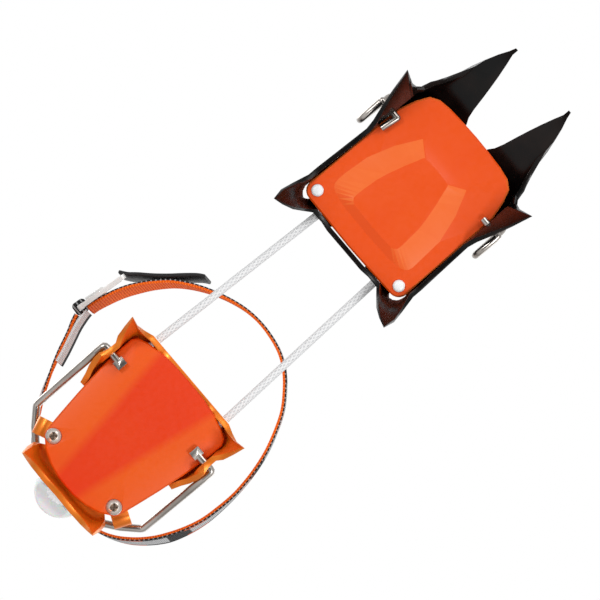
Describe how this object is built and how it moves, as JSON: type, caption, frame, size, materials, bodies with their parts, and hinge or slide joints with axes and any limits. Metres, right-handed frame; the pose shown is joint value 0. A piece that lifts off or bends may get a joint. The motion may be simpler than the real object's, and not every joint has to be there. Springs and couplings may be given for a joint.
{
  "type": "strap-on crampon",
  "caption": "Strap-on mountaineering crampon: steel front points, aluminium heel section, cord link, toe bail, heel lever and ankle strap.",
  "frame": {"origin": "point of the boot-sole plane in the middle of the crampon's width, near the middle of its length", "axes": "+X from the heel to the toe points, +Y to the wearer's left, +Z from the snow up to the boot"},
  "size_m": [0.332, 0.128, 0.1042],
  "materials": {
    "black_steel": "satin",
    "front_shell_plastic": "satin",
    "heel_shell_plastic": "satin",
    "white_plastic": "gloss",
    "stainless_wire": "satin",
    "bar_aluminium": "satin",
    "ferrule_aluminium": "satin",
    "cord_fabric": "matt",
    "orange_aluminium": "satin",
    "screw_steel": "satin",
    "lever_plastic": "gloss",
    "wheel_plastic": "matt",
    "strap_webbing": "matt",
    "tab_plastic": "satin",
    "buckle_steel": "polished"
  },
  "bodies": {
    "front_section": {"front_frame": "black_steel", "front_snow_shell": "front_shell_plastic", "front_rivets": "white_plastic", "front_rivet_caps": "white_plastic"},
    "toe_bail": {"toe_bail": "stainless_wire"},
    "link": {"adjuster_bar": "bar_aluminium", "cord_ferrules": "ferrule_aluminium", "link_cord": "cord_fabric"},
    "heel_section": {"cord_knots": "cord_fabric", "heel_frame": "orange_aluminium", "heel_snow_shell": "heel_shell_plastic", "shell_screws": "screw_steel", "shell_nuts": "screw_steel"},
    "heel_wire": {"heel_wire": "stainless_wire"},
    "lever_yoke": {"lever_yoke": "bar_aluminium"},
    "lever": {"heel_lever": "lever_plastic", "ankle_strap": "strap_webbing", "strap_tip": "tab_plastic", "strap_loop": "strap_webbing", "buckle_frame": "buckle_steel"},
    "adjust_wheel": {"adjust_wheel": "wheel_plastic", "adjust_screw": "screw_steel"},
    "buckle_cam": {"buckle_cam": "buckle_steel"}
  },
  "joints": [
    {"name": "toe_bail_hinge", "type": "hinge", "parent": "front_section", "child": "toe_bail", "pos_m": [0.096, 0, -0.0134], "axis": [0, -1, 0], "range_deg": [0, 80]},
    {"name": "length_slide", "type": "slide", "parent": "front_section", "child": "link", "axis": [1, 0, 0], "range_m": [0, 0.045]},
    {"name": "cord_fold", "type": "hinge", "parent": "link", "child": "heel_section", "pos_m": [-0.0652, 0, -0.0061], "axis": [0, -1, 0], "range_deg": [0, 90]},
    {"name": "heel_wire_hinge", "type": "hinge", "parent": "heel_section", "child": "heel_wire", "pos_m": [-0.089, 0, -0.0134], "axis": [0, 1, 0], "range_deg": [0, 25]},
    {"name": "lever_hinge", "type": "hinge", "parent": "heel_wire", "child": "lever_yoke", "pos_m": [-0.151, 0, 0.02], "axis": [0, -1, 0], "range_deg": [0, 70]},
    {"name": "lever_height", "type": "slide", "parent": "lever_yoke", "child": "lever", "axis": [-0.1736, 0, 0.9848], "range_m": [0, 0.004]},
    {"name": "wheel_spin", "type": "hinge", "parent": "lever", "child": "adjust_wheel", "pos_m": [-0.151, 0, 0.02], "axis": [-0.1736, 0, 0.9848], "range_deg": [0, 2058]},
    {"name": "buckle_cam_hinge", "type": "hinge", "parent": "lever", "child": "buckle_cam", "pos_m": [-0.0735, -0.0632, 0.047], "axis": [0, 0, 1], "range_deg": [0, 30]}
  ],
  "couplings": [
    {"joint": "wheel_spin", "follows": "lever_height", "rad_per_m": 8976.7}
  ]
}
